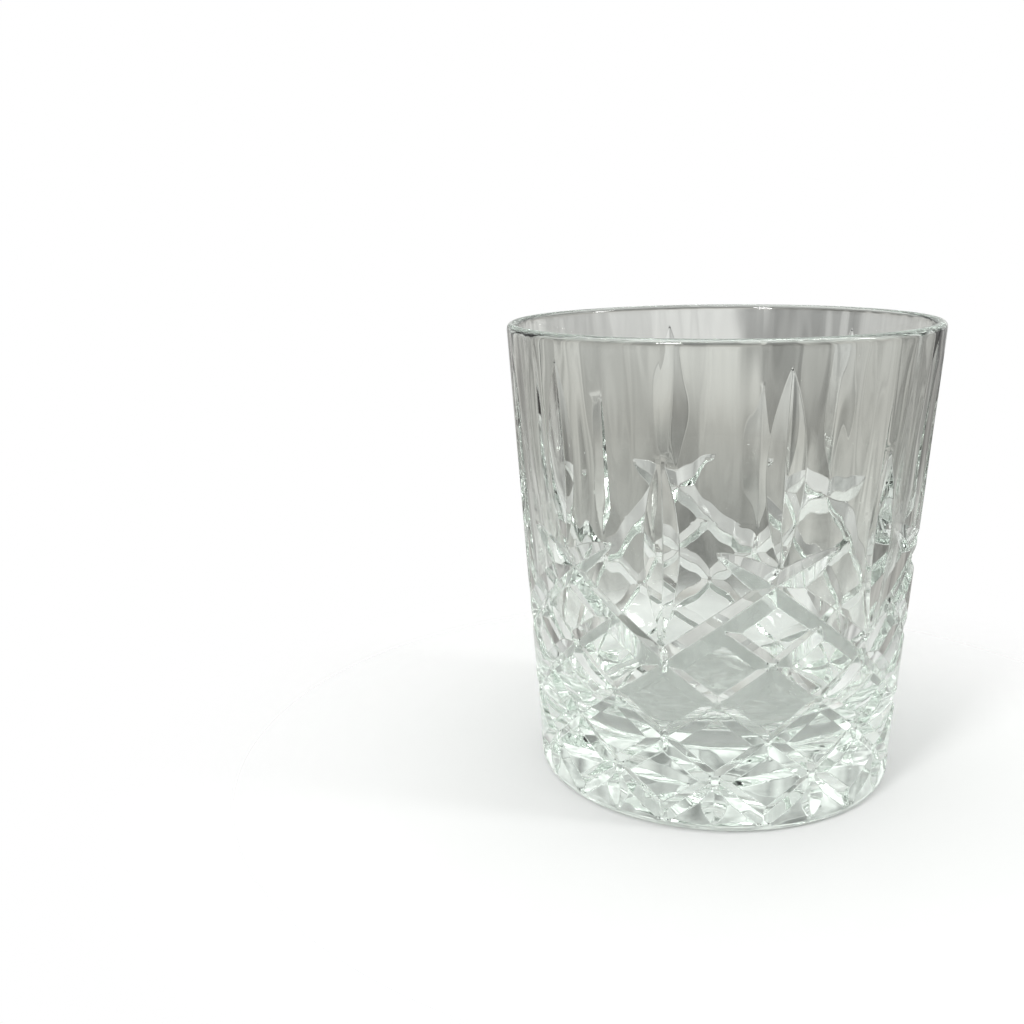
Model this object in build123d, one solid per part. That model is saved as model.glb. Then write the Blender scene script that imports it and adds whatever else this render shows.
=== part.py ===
from build123d import *
import math
import os

# Whiskey tumbler: one piece of clear pressed glass with a diamond-and-zigzag cut pattern.
# Millimetres, +Z up. The origin is the centre of the flat underside, and one peak of the
# zigzag border faces -Y.

# Body of the glass: a straight taper from the rim down to a thick base.
height = 91.5
rim_radius = 42.0
base_radius = 35.7
heel_round = 1.6

# Bowl: the hollow, tapered like the outside, with a rounded corner at its floor.
floor_height = 13.0
bowl_floor_radius = 31.0
bowl_rim_radius = 40.0
bowl_corner_round = 14.0
rim_round = 0.9

# Layout of the cut pattern: it repeats six times round the glass, and its crossings sit on
# rows that are evenly spaced in height and a quarter of a repeat apart round the glass.
repeats = 6
columns_per_repeat = 4
step_angle = 360.0 / repeats / columns_per_repeat
peak_height = 48.2
row_step = 7.5
last_row = 6
front_angle = -90.0

# Straight V grooves of the diamond lattice, and the wider ones of the zigzag border.
lattice_depth = 1.1
lattice_half_width = 1.8
border_depth = 1.6
border_half_width = 2.7
groove_overlap = 0.4
tool_clearance = 1.5

# Tips of the border grooves, which run on past each peak and come up out of the glass.
tip_angle = 17.0
tip_height = 55.0
tip_rise = 0.25

# Upright pointed cuts, each made as if by a V-edged wheel: bottom, top, depth, half width.
tall_bottom = 51.6
tall_top = 87.0
tall_depth = 0.9
tall_half_width = 3.4
short_bottom = 38.0
short_top = 71.8
short_depth = 1.1
short_half_width = 3.2
split_bottom = 1.6
split_top = 11.2
split_depth = 1.0
split_half_width = 2.4


def body_radius(level):
    """Outside radius of the glass, before cutting, at a height."""
    return base_radius + (rim_radius - base_radius) * level / height


def radial(angle):
    """Level direction pointing out of the glass at an angle round it."""
    turn = math.radians(angle)
    return Vector(math.cos(turn), math.sin(turn), 0)


def place(angle, level, depth):
    """Point under the outside surface at an angle, a height and a depth."""
    out = radial(angle) * (body_radius(level) - depth)
    return Vector(out.X, out.Y, level)


def row_height(row):
    """Height of a row of crossings, counted down from the peaks of the border."""
    return peak_height - row_step * row


def blank():
    """Plain tumbler: a tapered solid of revolution with the bowl hollowed out of it."""
    with BuildPart() as glass:
        with BuildSketch(Plane.XZ):
            with BuildLine():
                Polyline(
                    (0, 0),
                    (base_radius, 0),
                    (rim_radius, height),
                    (bowl_rim_radius, height),
                    (bowl_floor_radius, floor_height),
                    (0, floor_height),
                    close=True,
                )
            make_face()
        revolve(axis=Axis.Z)
        heel_ring, floor_ring, *rim_rings = glass.edges().filter_by(GeomType.CIRCLE).sort_by(Axis.Z)
        fillet(heel_ring, heel_round)
        fillet(floor_ring, bowl_corner_round)
        fillet(rim_rings, rim_round)
    return glass.part


def groove(start, end, outward, depth, half_width):
    """Straight V-shaped cutter whose sharp edge runs from one point to another."""
    along = (end - start).normalized()
    reach = depth + tool_clearance
    spread = reach * half_width / depth
    face_plane = Plane(origin=start - along * groove_overlap, x_dir=outward, z_dir=along)
    profile = Polyline((0, 0), (reach, spread), (reach, -spread), close=True)
    length = (end - start).length + 2 * groove_overlap
    return extrude(face_plane * make_face(profile), amount=length)


def lattice_groove(column, row, side, depth, half_width):
    """Groove from a crossing to its neighbour on the row below, to one side."""
    angle = front_angle + column * step_angle
    next_angle = angle + side * step_angle
    start = place(angle, row_height(row), depth)
    end = place(next_angle, row_height(row + 1), depth)
    outward = radial((angle + next_angle) / 2)
    return groove(start, end, outward, depth, half_width)


def border_tip(column, side):
    """Tip of a border groove, rising out of the glass beyond a peak."""
    angle = front_angle + column * step_angle
    end_angle = angle + side * tip_angle
    start = place(angle, peak_height, border_depth)
    end = place(end_angle, tip_height, -tip_rise)
    outward = radial((angle + end_angle) / 2)
    return groove(start, end, outward, border_depth, border_half_width)


def upright_cut(column, bottom, top, depth, half_width):
    """Upright pointed cut, shaped like the bite of a large wheel with a V-shaped edge."""
    angle = front_angle + column * step_angle
    slope = math.atan((rim_radius - base_radius) / height)
    outward = radial(angle) * math.cos(slope) - Vector(0, 0, math.sin(slope))
    inward = outward * -1
    axle = radial(angle).cross(Vector(0, 0, 1))
    wheel_radius = (top - bottom) ** 2 / (8 * depth)
    hub = place(angle, (bottom + top) / 2, depth) + outward * wheel_radius
    reach = depth + tool_clearance
    spread = reach * half_width / depth
    edge_plane = Plane(origin=hub, x_dir=inward, z_dir=axle.cross(outward))
    profile = Polyline(
        (wheel_radius, 0),
        (wheel_radius - reach, spread),
        (wheel_radius - reach, -spread),
        close=True,
    )
    return revolve(edge_plane * make_face(profile), axis=Axis(hub, axle))


def clear_of_heel(tool):
    """The same cutter, stopped at the top of the plain band round the heel."""
    if tool.bounding_box().min.Z > heel_round:
        return tool
    below = Cylinder(2 * rim_radius, height, align=(Align.CENTER, Align.CENTER, Align.MAX))
    return tool - Pos(0, 0, heel_round) * below


def lattice_cutters(side):
    """All the lattice and border cuts that run down to one side, all round the glass."""
    tools = []
    columns = columns_per_repeat * repeats
    for peak in range(0, columns, columns_per_repeat):
        tools.append(lattice_groove(peak, 0, side, border_depth, border_half_width))
        tools.append(lattice_groove(peak + side, 1, side, border_depth, border_half_width))
        tools.append(lattice_groove(peak - side, 1, side, lattice_depth, lattice_half_width))
    for row in range(2, last_row):
        for column in range(row % 2, columns, 2):
            tools.append(lattice_groove(column, row, side, lattice_depth, lattice_half_width))
    return tools


def upright_cutters():
    """All the upright pointed cuts, above the peaks, above the valleys and at the heel."""
    tools = []
    columns = columns_per_repeat * repeats
    for peak in range(0, columns, columns_per_repeat):
        valley = peak + columns_per_repeat // 2
        tools.append(upright_cut(peak, tall_bottom, tall_top, tall_depth, tall_half_width))
        tools.append(upright_cut(valley, short_bottom, short_top, short_depth, short_half_width))
    for column in range(1, columns, 2):
        tools.append(upright_cut(column, split_bottom, split_top, split_depth, split_half_width))
    return tools


def tip_cutters(side):
    """The tips of the border grooves that lean to one side, beyond every peak."""
    columns = columns_per_repeat * repeats
    return [border_tip(peak, side) for peak in range(0, columns, columns_per_repeat)]


glass_body = blank()
for side in (-1, 1):
    glass_body = glass_body.cut(*[clear_of_heel(tool) for tool in lattice_cutters(side)])
    glass_body = glass_body.cut(*tip_cutters(side))
glass_body = glass_body.cut(*[clear_of_heel(tool) for tool in upright_cutters()])

os.makedirs("parts", exist_ok=True)
export_step(glass_body, "parts/glass_body.step")
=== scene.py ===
# %% [markdown]
# # A whiskey tumbler in cut-pattern glass
# A short, heavy glass for drinking spirits. It is one piece of clear pressed glass: a thick
# base, a wall that leans out a little, a rounded rim, and a band of diamonds under a zigzag
# border with pointed upright cuts above it. The engineering model is loaded first, because
# it fixes where the glass stands and how big it is. Everything here is in metres.

# %% Load the engineering model
import math

import bmesh
import bpy
from mathutils import Matrix, Vector


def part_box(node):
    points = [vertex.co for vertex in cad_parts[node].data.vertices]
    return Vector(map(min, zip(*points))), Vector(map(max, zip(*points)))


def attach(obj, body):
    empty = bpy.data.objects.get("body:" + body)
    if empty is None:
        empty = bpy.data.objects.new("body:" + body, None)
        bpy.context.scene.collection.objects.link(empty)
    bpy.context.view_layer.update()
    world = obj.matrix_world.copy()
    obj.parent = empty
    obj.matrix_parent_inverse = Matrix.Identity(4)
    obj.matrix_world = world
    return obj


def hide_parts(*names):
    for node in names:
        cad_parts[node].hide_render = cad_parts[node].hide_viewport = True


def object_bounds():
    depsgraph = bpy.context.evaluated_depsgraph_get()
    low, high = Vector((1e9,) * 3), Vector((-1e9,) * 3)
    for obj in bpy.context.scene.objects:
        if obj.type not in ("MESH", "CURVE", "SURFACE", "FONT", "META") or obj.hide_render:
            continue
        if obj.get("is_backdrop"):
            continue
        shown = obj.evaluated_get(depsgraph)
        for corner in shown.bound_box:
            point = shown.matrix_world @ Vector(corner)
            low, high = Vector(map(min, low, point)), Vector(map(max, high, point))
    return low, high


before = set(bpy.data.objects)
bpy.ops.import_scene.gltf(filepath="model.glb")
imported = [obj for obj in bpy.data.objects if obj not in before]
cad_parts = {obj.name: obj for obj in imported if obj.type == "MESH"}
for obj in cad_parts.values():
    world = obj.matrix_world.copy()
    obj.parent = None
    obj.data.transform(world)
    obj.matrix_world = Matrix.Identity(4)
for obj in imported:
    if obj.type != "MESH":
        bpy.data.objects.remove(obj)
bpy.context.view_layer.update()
cad_low, cad_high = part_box("glass_body")
print("engineering model from", tuple(cad_low), "to", tuple(cad_high))

# %% [markdown]
# ## The body's measurements
# The glass could be made as one spun outline, but a spun outline has no place for the cuts.
# So the measurements come first: the outside leans out in a straight line from the base to
# the rim, and the bowl inside leans out a little more, which thins the wall towards the rim.

# %% Measurements of the body
mm = 0.001
height = cad_high.z
rim_radius = 42.0 * mm
base_radius = 35.7 * mm
floor_height = 13.0 * mm
bowl_floor_radius = 31.0 * mm
bowl_rim_radius = 40.0 * mm
bowl_corner_round = 14.0 * mm


def outer_radius(level):
    """Radius of the uncut outside at a height."""
    return base_radius + (rim_radius - base_radius) * level / height


def bowl_radius(level):
    """Radius of the bowl at a height, before its corner is rounded."""
    share = (level - floor_height) / (height - floor_height)
    return bowl_floor_radius + (bowl_rim_radius - bowl_floor_radius) * share


print("wall at the rim", round((outer_radius(height) - bowl_radius(height)) / mm, 2), "mm")

# %% [markdown]
# ## The cut pattern as flat facets
# A cutter's wheel with a V edge leaves two facets that meet in a sharp valley. The whole
# pattern is such cuts, so each facet is written as a small function: how deep it lies under
# the uncut surface at an angle round the glass and a height. The deepest cut wins. The
# pattern repeats six times and mirrors itself about each peak and each valley, so only one
# twelfth of it, from a peak to the next valley, has to be described.

# %% Layout of the pattern
repeats = 6
half_repeat = math.pi / repeats
step_angle = half_repeat / 2
row_step = 7.5 * mm
peak_height = 48.2 * mm
pattern_rows = 6

lattice_depth = 1.1 * mm
lattice_reach = 2.3 * mm
border_depth = 1.6 * mm
border_reach = 3.35 * mm
tip_angle = math.radians(17)
tip_height = 55.0 * mm

tall_cut = {"bottom": 51.6 * mm, "top": 87.0 * mm, "depth": 0.9 * mm, "half_width": 3.4 * mm}
short_cut = {"bottom": 38.0 * mm, "top": 71.8 * mm, "depth": 1.1 * mm, "half_width": 3.2 * mm}
split_cut = {"bottom": 1.6 * mm, "top": 11.2 * mm, "depth": 1.0 * mm, "half_width": 2.4 * mm}


def row_height(row):
    """Height of a row of crossings, counted down from the peaks."""
    return peak_height - row_step * row


print("rows of crossings at", [round(row_height(r) / mm, 1) for r in range(pattern_rows + 1)])

# %% [markdown]
# A slanted groove is equally deep all along, or fades out towards its tip. An upright cut is
# deepest at its middle and comes to a point at both ends, because a round wheel bites it.
# Both could be modelled as solid wheels and taken away with a Boolean modifier, but that
# leaves long thin triangles, which show in clear glass.

# %% Two facets for each kind of cut
angle_margin = 1e-9
outside_the_cut = -1.0


def slanted_cut(start, end, depth, reach, fades=False):
    """Two facets of a straight V groove from one (angle, height) to another."""
    (angle_a, level_a), (angle_b, level_b) = start, end
    low, high = min(angle_a, angle_b), max(angle_a, angle_b)

    def facet(side):
        def depth_at(angle, level):
            if not low - angle_margin <= angle <= high + angle_margin:
                return outside_the_cut
            share = (angle - angle_a) / (angle_b - angle_a)
            middle = level_a + (level_b - level_a) * share
            bottom = depth * (1 - share * share) if fades else depth
            return bottom - side * (level - middle) * depth / reach

        return depth_at

    return [facet(1), facet(-1)]


def upright_cut(centre_angle, bottom, top, depth, half_width):
    """Two facets of an upright pointed cut, as a big V-edged wheel bites it."""

    def facet(side):
        def depth_at(angle, level):
            along = (2 * level - bottom - top) / (top - bottom)
            across = (angle - centre_angle) * outer_radius(level)
            return depth * (1 - along * along) - side * across * depth / half_width

        return depth_at

    return [facet(1), facet(-1)]


print("an upright cut has", len(upright_cut(0, **tall_cut)), "facets")

# %% List the facets of one twelfth
border = {"depth": border_depth, "reach": border_reach}
lattice = {"depth": lattice_depth, "reach": lattice_reach}
peak = (0, row_height(0))
valley = (half_repeat, row_height(2))

facets = slanted_cut(peak, valley, **border)
facets += slanted_cut(peak, (tip_angle, tip_height), fades=True, **border)
facets += slanted_cut((step_angle, row_height(1)), (0, row_height(2)), **lattice)
for row in range(2, pattern_rows, 2):
    facets += slanted_cut((0, row_height(row)), (half_repeat, row_height(row + 2)), **lattice)
    facets += slanted_cut((half_repeat, row_height(row)), (0, row_height(row + 2)), **lattice)
facets += upright_cut(0, **tall_cut)
facets += upright_cut(half_repeat, **short_cut)
facets += upright_cut(step_angle, **split_cut)
print(len(facets), "facets in one twelfth of the pattern")

# %% [markdown]
# ## Laying the creases into the mesh
# A plain grid pushed in by these depths would leave saw teeth along every slanted crease.
# A crease is sharp only where mesh edges run along it. So a flat grid of one twelfth is laid
# out, with the angle along X and the height along Z, and rows that fall on the crossings.
# Where an edge runs from one facet to another, it is split exactly at the change, and the
# splits in each face are joined. A corner that lies almost on the change is taken for it,
# and one that lies near slides onto it, because a split beside a corner leaves slivers.

# %% Lay out one twelfth as a flat grid
columns = 26
cells_per_row = 10
rows_below_peak = 62
rows_above_peak = 56
half = 0.5

cell = row_step / cells_per_row
sheet_bottom = peak_height - rows_below_peak * cell
sheet_top = peak_height + rows_above_peak * cell
sheet = bmesh.new()
bmesh.ops.create_grid(
    sheet, x_segments=columns, y_segments=rows_below_peak + rows_above_peak, size=half
)
stand_up = Matrix.Rotation(math.pi / 2, 3, "X")
bmesh.ops.rotate(sheet, verts=sheet.verts, matrix=stand_up)
bmesh.ops.translate(sheet, verts=sheet.verts, vec=(half, 0, half))
bmesh.ops.scale(sheet, verts=sheet.verts, vec=(half_repeat, 1, sheet_top - sheet_bottom))
bmesh.ops.translate(sheet, verts=sheet.verts, vec=(0, 0, sheet_bottom))
levels = [round(level / mm, 1) for level in (sheet_bottom, sheet_top)]
print("flat sheet of", len(sheet.faces), "faces, between the heights", levels)

# %% [markdown]
# The facets come in pairs, and inside a pair the shallower one is the surface of that cut.
# The owner of a point is the facet that shapes the glass there, or none where it is uncut.
# The pattern also has to stop above the heel, so that the glass stands on a plain round band.
# One more facet does it: a short slope that brings every cut back up to the surface there.


# %% Find what shapes a point
heel_slope = 1.3
heel_facet = len(facets)
uncut = -1


def owner_and_depth(angle, level):
    """Which facet shapes the glass at a point, and how deep it is there."""
    owner, depth = uncut, 0.0
    for pair in range(0, len(facets), 2):
        one, other = facets[pair](angle, level), facets[pair + 1](angle, level)
        cut = min(one, other)
        if cut > depth:
            owner, depth = (pair if one <= other else pair + 1), cut
    ramp = heel_slope * (level - sheet_bottom)
    if depth > ramp:
        return heel_facet, max(ramp, 0.0)
    return owner, depth


print("deepest point at a peak", round(owner_and_depth(0, peak_height)[1] / mm, 2), "mm")


# %% Find where an edge passes to the next facet
halvings = 20


def change_share(edge, owner):
    """How far along an edge the facet of its first corner stops shaping the glass."""
    near, far = 0.0, 1.0
    for _ in range(halvings):
        middle = (near + far) / 2
        point = edge.verts[0].co.lerp(edge.verts[1].co, middle)
        if owner_and_depth(point.x, point.z)[0] == owner:
            near = middle
        else:
            far = middle
    return (near + far) / 2


def may_slide(corner, edge):
    """Whether a corner can move along an edge without leaving the sheet's outline."""
    return not corner.is_boundary or (edge.is_boundary and len(corner.link_edges) == 3)


print("each change is found to one part in", 2**halvings)


# %% Put corners on the creases
def lay_creases(mesh, touch=0.04, slide=0.25):
    """Put a corner wherever an edge passes from one facet to the next, and return them."""
    owners = {v: owner_and_depth(v.co.x, v.co.z)[0] for v in mesh.verts}
    changing = [e for e in mesh.edges if owners[e.verts[0]] != owners[e.verts[1]]]
    shares = {e: change_share(e, owners[e.verts[0]]) for e in changing}
    creased = set()
    for edge, share in shares.items():
        for corner, gap in ((edge.verts[0], share), (edge.verts[1], 1 - share)):
            if gap < touch:
                creased.add(corner)
    for edge, share in shares.items():
        if creased.intersection(edge.verts):
            continue
        for corner, gap in ((edge.verts[0], share), (edge.verts[1], 1 - share)):
            if gap < slide and may_slide(corner, edge):
                corner.co = edge.verts[0].co.lerp(edge.verts[1].co, share)
                creased.add(corner)
                break
    for edge in changing:
        if not creased.intersection(edge.verts):
            start = edge.verts[0]
            creased.add(bmesh.utils.edge_split(edge, start, shares[edge])[1])
    return creased


creased = lay_creases(sheet)
print(len(creased), "corners on creases")


# %% Join the splits across each face
def join_creases(mesh, creased):
    """Cut each face along the crease that passes through it."""
    for face in list(mesh.faces):
        marked = [v for v in face.verts if v in creased]
        if len(marked) == 2:
            if not mesh.edges.get(marked):
                bmesh.utils.face_split(face, *marked)
        elif len(marked) > 2 and len(face.verts) > 4:
            bmesh.ops.poke(mesh, faces=[face])


join_creases(sheet, creased)
print("creased sheet of", len(sheet.faces), "faces")

# %% [markdown]
# ## Pushing the facets in, and repeating them
# The sheet gets its depth along Y while it is still flat. It is then mirrored about the peak
# and copied until six repeats lie side by side, which makes the whole pattern from one
# twelfth, as a moulder repeats one cutter's path round the mould.

# %% Push in, mirror and repeat
flat_merge = 1e-7
for corner in sheet.verts:
    corner.co.y = owner_and_depth(corner.co.x, corner.co.z)[1]

one_twelfth = sheet.verts[:] + sheet.edges[:] + sheet.faces[:]
bmesh.ops.mirror(sheet, geom=one_twelfth, axis="X", merge_dist=flat_merge)
one_repeat = sheet.verts[:] + sheet.edges[:] + sheet.faces[:]
for turn in range(1, repeats):
    copy = bmesh.ops.duplicate(sheet, geom=one_repeat)["geom"]
    copied = [item for item in copy if isinstance(item, bmesh.types.BMVert)]
    bmesh.ops.translate(sheet, verts=copied, vec=(turn * 2 * half_repeat, 0, 0))
bmesh.ops.remove_doubles(sheet, verts=sheet.verts, dist=flat_merge)
print("whole pattern, still flat:", len(sheet.faces), "faces")

# %% [markdown]
# ## Rolling the sheet up
# A full turn of sheet is rolled round the Z axis. The angle becomes a place on a circle, and
# the depth is taken off the radius. Edges where the surface turns by more than a few degrees
# are creases, and are marked in the mesh's bevel weights for the fire polish later on.

# %% Roll it up
round_merge = 1e-6
crease_angle = math.radians(9)
for corner in sheet.verts:
    angle, depth, level = corner.co
    radius = outer_radius(level) - depth
    corner.co = Vector((radius * math.sin(angle), -radius * math.cos(angle), level))
bmesh.ops.remove_doubles(sheet, verts=sheet.verts, dist=round_merge)

softened = sheet.edges.layers.float.new("bevel_weight_edge")
for edge in sheet.edges:
    if edge.calc_face_angle(0) > crease_angle:
        edge[softened] = 1.0
open_edges = [e for e in sheet.edges if e.is_boundary]
print(sum(e[softened] > 0 for e in sheet.edges), "edges on creases")
print("rolled up, with", len(open_edges), "open edges at the rim and the heel")

# %% [markdown]
# ## Rim, bowl and base
# The rest of the glass is round, so each part grows from an open ring of edges: the ring is
# extruded, scaled about the axis and lifted to the next point of the outline. A spun outline
# would also do, but it would have to be matched and sewn to the cut wall afterwards.


# %% Grow the outline ring by ring
def grow(mesh, ring, radius, level):
    """Extrude a ring of edges to a new radius and height, and return the new ring."""
    old = ring[0].verts[0].co
    scale = radius / math.hypot(old.x, old.y)
    lift = level - old.z
    grown = bmesh.ops.extrude_edge_only(mesh, edges=ring)["geom"]
    corners = [item for item in grown if isinstance(item, bmesh.types.BMVert)]
    bmesh.ops.scale(mesh, verts=corners, vec=(scale, scale, 1))
    bmesh.ops.translate(mesh, verts=corners, vec=(0, 0, lift))
    return [item for item in grown if isinstance(item, bmesh.types.BMEdge)]


def arc(centre, radius, start, end, steps):
    """Points of a round corner from one angle to another, as (radius, height), after its first."""
    for step in range(1, steps + 1):
        turn = math.radians(start + (end - start) * step / steps)
        yield centre[0] + radius * math.cos(turn), centre[1] + radius * math.sin(turn)


top_ring = [e for e in open_edges if e.verts[0].co.z > height / 2]
heel_ring = [e for e in open_edges if e.verts[0].co.z < height / 2]
print(len(top_ring), "edges in the rim ring,", len(heel_ring), "in the heel ring")

# %% Rim and bowl
lip_steps = 10
wall_rings = 8
corner_steps = 12
inner_rings = (0.66, 0.33)

lip_radius = (outer_radius(sheet_top) - bowl_radius(sheet_top)) / 2
lip_centre = ((outer_radius(sheet_top) + bowl_radius(sheet_top)) / 2, height - lip_radius)
ring = grow(sheet, top_ring, lip_centre[0] + lip_radius, lip_centre[1])
for radius, level in arc(lip_centre, lip_radius, 0, 180, lip_steps):
    ring = grow(sheet, ring, radius, level)

corner_top = floor_height + bowl_corner_round
for step in range(1, wall_rings + 1):
    level = lip_centre[1] + (corner_top - lip_centre[1]) * step / wall_rings
    ring = grow(sheet, ring, bowl_radius(level), level)
corner_centre = (bowl_radius(corner_top) - bowl_corner_round, corner_top)
for radius, level in arc(corner_centre, bowl_corner_round, 0, -90, corner_steps):
    ring = grow(sheet, ring, radius, level)
for share in inner_rings:
    ring = grow(sheet, ring, corner_centre[0] * share, floor_height)
bmesh.ops.contextual_create(sheet, geom=ring)
print("wall at the rim", round(2 * lip_radius / mm, 2), "mm")

# %% Heel and base
heel_steps = 6
heel_centre = (outer_radius(sheet_bottom) - sheet_bottom, sheet_bottom)
ring = heel_ring
for radius, level in arc(heel_centre, sheet_bottom, 0, -90, heel_steps):
    ring = grow(sheet, ring, radius, level)
for share in inner_rings:
    ring = grow(sheet, ring, heel_centre[0] * share, 0)
bmesh.ops.contextual_create(sheet, geom=ring)
print("stands on a flat", round(2 * heel_centre[0] / mm, 1), "mm across")

# %% [markdown]
# ## Closing the glass
# Light has to enter clear glass and leave it again, so the mesh must be one closed skin whose
# faces all point outwards. The last doubles are merged first, then the normals are worked out
# again, because mirroring can leave half of a mesh turned over. A volume above zero proves
# that they point outwards. A Solidify modifier on one open skin would be quicker, but the
# inside of this glass has its own shape.

# %% Close it and turn its faces outwards
bmesh.ops.remove_doubles(sheet, verts=sheet.verts, dist=round_merge)
bmesh.ops.recalc_face_normals(sheet, faces=sheet.faces)
if sheet.calc_volume(signed=True) < 0:
    bmesh.ops.reverse_faces(sheet, faces=sheet.faces)
for face in sheet.faces:
    face.smooth = True
cubic_centimetre = (10 * mm) ** 3
print("open edges left:", sum(not e.is_manifold for e in sheet.edges))
print("glass volume", round(sheet.calc_volume() / cubic_centimetre, 1), "cubic centimetres")
print("triangles", sum(len(f.verts) - 2 for f in sheet.faces))

# %% Stand it in the scene in place of the engineering part
glass_mesh = bpy.data.meshes.new("tumbler")
sheet.to_mesh(glass_mesh)
sheet.free()
tumbler = bpy.data.objects.new("tumbler", glass_mesh)
bpy.context.scene.collection.objects.link(tumbler)
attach(tumbler, "root")
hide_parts("glass_body")
print("tumbler has", len(glass_mesh.vertices), "corners")

# %% [markdown]
# ## Fire polish
# A pressed glass is turned in a flame at the end, which rounds every sharp crease by a hair.
# Each crease then draws a thin bright line, because a rounded edge always has some part
# that faces a light. The marked creases get a narrow bevel that is shaded as if round. Its
# overlap clamp is off, because with it the shortest edges of the mesh hold every bevel to
# almost nothing. Without it slivers may overlap where many creases meet, so it stays narrow.

# %% Round the creases
polish_width = 0.14 * mm
polish = tumbler.modifiers.new("fire_polish", "BEVEL")
polish.limit_method = "WEIGHT"
polish.width = polish_width
polish.segments = 1
polish.harden_normals = True
polish.use_clamp_overlap = False
polished = tumbler.evaluated_get(bpy.context.evaluated_depsgraph_get())
finished = polished.to_mesh()
finished.calc_loop_triangles()
print("polish", round(polish_width / mm, 2), "mm wide,", len(finished.loop_triangles), "triangles")
polished.to_mesh_clear()

# %% [markdown]
# ## A small language for shader maths
# Node trees are easier to read as sums. A `Value` wraps one socket, and adding to it or
# multiplying it lays down a Math node. Every other node comes from `Finish.node`, which
# takes the node's type, its settings and what goes into its sockets.


# %% A socket that can be added to and multiplied
class Value:
    """One output of a node tree, for use in sums."""

    def __init__(self, tree, socket):
        self.tree = tree
        self.socket = socket

    def maths(self, operation, *terms):
        node = self.tree.nodes.new("ShaderNodeMath")
        node.operation = operation
        for slot, term in zip(node.inputs, terms):
            if isinstance(term, Value):
                self.tree.links.new(term.socket, slot)
            else:
                slot.default_value = term
        return Value(self.tree, node.outputs[0])

    def __add__(self, other):
        return self.maths("ADD", self, other)

    def __mul__(self, other):
        return self.maths("MULTIPLY", self, other)

    __radd__ = __add__
    __rmul__ = __mul__


print("sums on sockets ready")


# %% One way to add any other node
class Finish:
    """The node tree of a material or a room, and the one way to add nodes to it."""

    def __init__(self, owner):
        owner.use_nodes = True
        self.tree = owner.node_tree
        self.tree.nodes.clear()

    def node(self, kind, settings=None, output=0, **sockets):
        """Add a node: its settings first, then what goes into its sockets."""
        made = self.tree.nodes.new(kind)
        for name, setting in (settings or {}).items():
            if name == "stops":
                self.set_stops(made.color_ramp.elements, setting)
            else:
                setattr(made, name, setting)
        inputs = {slot.identifier.replace(" ", "_"): slot for slot in made.inputs}
        for name, given in sockets.items():
            if isinstance(given, Value):
                self.tree.links.new(given.socket, inputs[name])
            else:
                inputs[name].default_value = given
        return Value(self.tree, made.outputs[output]) if made.outputs else None

    def set_stops(self, points, stops):
        """Put a colour ramp's points at (place, colour) stops."""
        while len(points) < len(stops):
            points.new(half)
        for point, (place, colour) in zip(points, stops):
            point.position = place
            point.color = (*colour, 1)


print("nodes ready")

# %% [markdown]
# ## Clear glass
# Clear pressed glass bends light by about a half more than air does, and a long way through
# it picks up a faint green from iron in the sand. The finish lives in three small things. The
# mould leaves the upper wall slightly wavy, in streaks that run up and down as the hot glass
# settled. The plunger that presses the bowl leaves its floor uneven. And a used glass carries
# a few smudges, where its shine is duller. All three are patterns on the glass itself, so
# they stay put from every side. Modelled ripples would need a far finer mesh, and a Bump node
# bends the light nearly as they would, so they are left to it. Their sizes are chosen.

# %% The wall's waviness
glass = bpy.data.materials.new("clear_glass")
finish = Finish(glass)
coordinates = finish.node("ShaderNodeTexCoord", output="Object")
streaks_per_metre = (130, 130, 20)
ripple_height = 0.40 * mm
smooth_below, wavy_above = 40 * mm, 60 * mm
least_ripple = 0.1

streak_space = finish.node("ShaderNodeMapping", Vector=coordinates, Scale=streaks_per_metre)
streaks = finish.node("ShaderNodeTexNoise", Vector=streak_space, Scale=1.0, Detail=1.0)
level_on_glass = finish.node("ShaderNodeSeparateXYZ", output="Z", Vector=coordinates)
waviness = finish.node(
    "ShaderNodeMapRange",
    Value=level_on_glass,
    From_Min=smooth_below,
    From_Max=wavy_above,
    To_Min=least_ripple,
)
print("ripples up to", round(ripple_height / mm, 2), "mm high in the upper wall")

# %% The bowl's uneven floor
dimples_per_metre = 140
dimple_share = 1.2
dimpled_within, smooth_beyond = 30 * mm, 34 * mm
smooth_under, dimpled_above = 4 * mm, 8 * mm

dimples = finish.node(
    "ShaderNodeTexNoise", Vector=coordinates, Scale=dimples_per_metre, Detail=1.0
)
drop_height = (1, 1, 0)
flattened = finish.node(
    "ShaderNodeVectorMath", {"operation": "MULTIPLY"}, Vector=coordinates, Vector_001=drop_height
)
outwards = finish.node(
    "ShaderNodeVectorMath", {"operation": "LENGTH"}, output="Value", Vector=flattened
)
bowl_floor = finish.node(
    "ShaderNodeMapRange",
    Value=outwards,
    From_Min=dimpled_within,
    From_Max=smooth_beyond,
    To_Min=1.0,
    To_Max=0.0,
)
above_base = finish.node(
    "ShaderNodeMapRange", Value=level_on_glass, From_Min=smooth_under, From_Max=dimpled_above
)
relief = streaks * waviness + dimples * bowl_floor * above_base * dimple_share
waves = finish.node("ShaderNodeBump", Height=relief, Distance=ripple_height)
print("dimples up to", round(ripple_height * dimple_share / mm, 2), "mm deep in the bowl's floor")

# %% Smudges
smudges_per_metre = 45
clean_below, dull_above = 0.55, 0.75
dullest = 0.05

smudge_field = finish.node(
    "ShaderNodeTexNoise", Vector=coordinates, Scale=smudges_per_metre, Detail=4.0
)
smudges = finish.node(
    "ShaderNodeMapRange",
    Value=smudge_field,
    From_Min=clean_below,
    From_Max=dull_above,
    To_Max=dullest,
)
print("smudges are up to", dullest, "rough")

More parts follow.
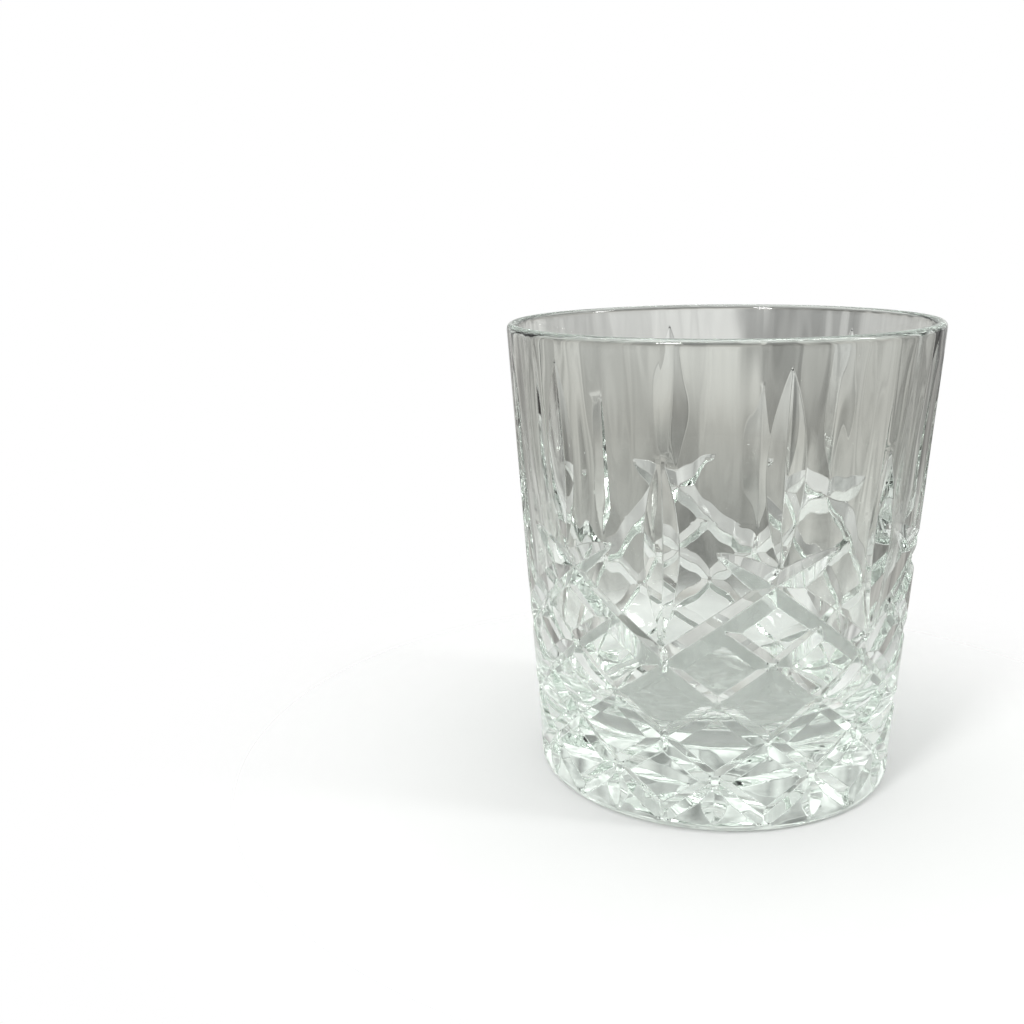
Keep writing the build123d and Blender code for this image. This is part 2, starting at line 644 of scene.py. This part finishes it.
# %% Clear glass with a breath of green
skin_tint = (0.985, 1.0, 0.985, 1)
depth_tint = (0.74, 0.93, 0.80, 1)
light_bending = 1.52
tint_per_metre = 3.5

clear = finish.node(
    "ShaderNodeBsdfPrincipled",
    Base_Color=skin_tint,
    Roughness=smudges,
    IOR=light_bending,
    Transmission_Weight=1.0,
    Normal=waves,
)
green = finish.node("ShaderNodeVolumeAbsorption", Color=depth_tint, Density=tint_per_metre)
finish.node("ShaderNodeOutputMaterial", Surface=clear, Volume=green)
tumbler.data.materials.append(glass)
print("glass has", len(glass.node_tree.nodes), "nodes")

# %% [markdown]
# ## Floor
# The glass stands on a plain pale floor. A floor with an edge would draw a hard line right
# across the glass, because the wall shows what is behind it. So the disc fades away towards
# its edge, as a sheet of paper that curves up behind the glass has no edge either.

# %% Pale floor
floor_radius = 170 * mm
floor_drop = 0.2 * mm
plate = bmesh.new()
bmesh.ops.create_circle(plate, cap_ends=True, segments=128, radius=floor_radius)
bmesh.ops.translate(plate, verts=plate.verts, vec=(0, 0, -floor_drop))
floor_mesh = bpy.data.meshes.new("floor")
plate.to_mesh(floor_mesh)
plate.free()
floor = bpy.data.objects.new("floor", floor_mesh)
bpy.context.scene.collection.objects.link(floor)
floor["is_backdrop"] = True
print("floor", 2 * floor_radius, "m across")

# %% Floor paint that fades out
solid_within, gone_beyond = 45 * mm, 130 * mm
pale = (0.82, 0.82, 0.82, 1)

paint = bpy.data.materials.new("floor_paint")
finish = Finish(paint)
coordinates = finish.node("ShaderNodeTexCoord", output="Object")
outwards = finish.node(
    "ShaderNodeVectorMath", {"operation": "LENGTH"}, output="Value", Vector=coordinates
)
fade = finish.node(
    "ShaderNodeMapRange",
    {"interpolation_type": "SMOOTHSTEP"},
    Value=outwards,
    From_Min=solid_within,
    From_Max=gone_beyond,
    To_Min=1.0,
    To_Max=0.0,
)
matt = finish.node("ShaderNodeBsdfPrincipled", Base_Color=pale, Roughness=0.9, Alpha=fade)
finish.node("ShaderNodeOutputMaterial", Surface=matt)
floor.data.materials.append(paint)
print("floor paint has", len(paint.node_tree.nodes), "nodes")

# %% [markdown]
# ## The room
# Clear glass has no colour of its own to show: every facet shows some piece of the room.
# In an even white room the cuts would vanish. So the room is bright overhead, grey with a
# trace of green or brown around and below, and broken by soft upright shades like furniture
# and curtains out of focus. Rays that come straight from the camera see a plain white
# backdrop in its place, and every ray that the glass or the floor has turned sees the room.

# %% Soft room
world = bpy.data.worlds.new("studio")
bpy.context.scene.world = world
finish = Finish(world)
direction = finish.node("ShaderNodeTexCoord", output="Generated")
upward = finish.node("ShaderNodeSeparateXYZ", output="Z", Vector=direction)
room_stops = [
    (0.00, (0.44, 0.45, 0.43)),
    (0.26, (0.50, 0.51, 0.49)),
    (0.39, (0.36, 0.35, 0.33)),
    (0.45, (0.51, 0.51, 0.50)),
    (0.50, (0.48, 0.48, 0.47)),
    (0.60, (0.52, 0.53, 0.52)),
    (0.80, (0.78, 0.80, 0.78)),
    (1.00, (1.20, 1.22, 1.20)),
]
floor_to_ceiling = upward * half + half
room = finish.node("ShaderNodeValToRGB", {"stops": room_stops}, Fac=floor_to_ceiling)
print("room of", len(room_stops), "tones from floor to ceiling")

# %% Upright shades and a white backdrop
shades_from = (0.7, 5.0, 2.5)
shades_per_unit = (7, 7, 2)
deep_below, light_above = 0.35, 0.65
deepest, lightest = 0.42, 1.7

stretched = finish.node(
    "ShaderNodeMapping", Vector=direction, Location=shades_from, Scale=shades_per_unit
)
patches = finish.node("ShaderNodeTexNoise", Vector=stretched, Scale=1.0, Detail=4.0)
shade = finish.node(
    "ShaderNodeMapRange",
    Value=patches,
    From_Min=deep_below,
    From_Max=light_above,
    To_Min=deepest,
    To_Max=lightest,
)
room_light = finish.node("ShaderNodeBackground", Color=room, Strength=shade)
backdrop = finish.node("ShaderNodeBackground", Color=(1, 1, 1, 1), Strength=1.0)
seen = finish.node("ShaderNodeLightPath", output="Is Camera Ray")
both = finish.node("ShaderNodeMixShader", Fac=seen, Shader=room_light, Shader_001=backdrop)
finish.node("ShaderNodeOutputWorld", Surface=both)
print("shades from", deepest, "to", lightest, "times the room's tone")

# %% [markdown]
# ## Windows and light paths
# Two soft windows give the small bright glints. Light crosses many faces inside a cut
# glass, so its paths need more turns than usual, or the deepest facets would come out black.


# %% Window lights
def window(name, place, width, tall, power):
    """A soft rectangular light that faces the glass."""
    light = bpy.data.lights.new(name, "AREA")
    light.shape = "RECTANGLE"
    light.size, light.size_y = width, tall
    light.energy = power
    lamp = bpy.data.objects.new(name, light)
    lamp.location = place
    towards_glass = Vector((0, 0, height / 2)) - Vector(place)
    lamp.rotation_euler = towards_glass.to_track_quat("-Z", "Y").to_euler()
    bpy.context.scene.collection.objects.link(lamp)


window("window_left", place=(-0.9, -0.9, 0.9), width=0.25, tall=0.6, power=9)
window("window_right", place=(1.1, -0.5, 0.8), width=0.2, tall=0.5, power=4)
print("lit by", [light.name for light in bpy.data.lights])

# %% Light paths and tones
turns_in_glass = 32
turns_by_gloss = 16
scene = bpy.context.scene
scene.view_settings.view_transform = "Standard"
scene.cycles.max_bounces = turns_in_glass
scene.cycles.transmission_bounces = turns_in_glass
scene.cycles.glossy_bounces = turns_by_gloss
print("light may turn", scene.cycles.max_bounces, "times")

# %% [markdown]
# ## Camera
# The camera looks slightly down on the glass, which stands to the right of its view. Its
# place is written in rim radii, so the view keeps its proportions if the glass is resized.

# %% Place the camera
camera_data = bpy.data.cameras.new("camera")
camera = bpy.data.objects.new("camera", camera_data)
bpy.context.scene.collection.objects.link(camera)
camera_data.sensor_width = 36.0
camera_data.lens = 41.354
facing = math.radians(-6.3)
pitch_down = 0.2401
lean = -0.019
place_in_rim_radii = Vector((-0.9894, -5.5344, 2.6249))
place = place_in_rim_radii * rim_radius
aim = Matrix.Rotation(math.pi / 2 - pitch_down, 4, "X") @ Matrix.Rotation(lean, 4, "Z")
camera.matrix_world = Matrix.Rotation(facing, 4, "Z") @ Matrix.Translation(place) @ aim
bpy.context.scene.camera = camera
print("camera", round(place.length / mm), "mm from the middle of the base")

# %% [markdown]
# ## Sizes
# The finished glass and the engineering model should fill the same box. The finished glass's box
# is measured here, and its height is printed.

# %% Measure the finished glass
model_low, model_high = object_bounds()
print("the glass is", round((model_high.z - model_low.z) / mm, 2), "mm tall")
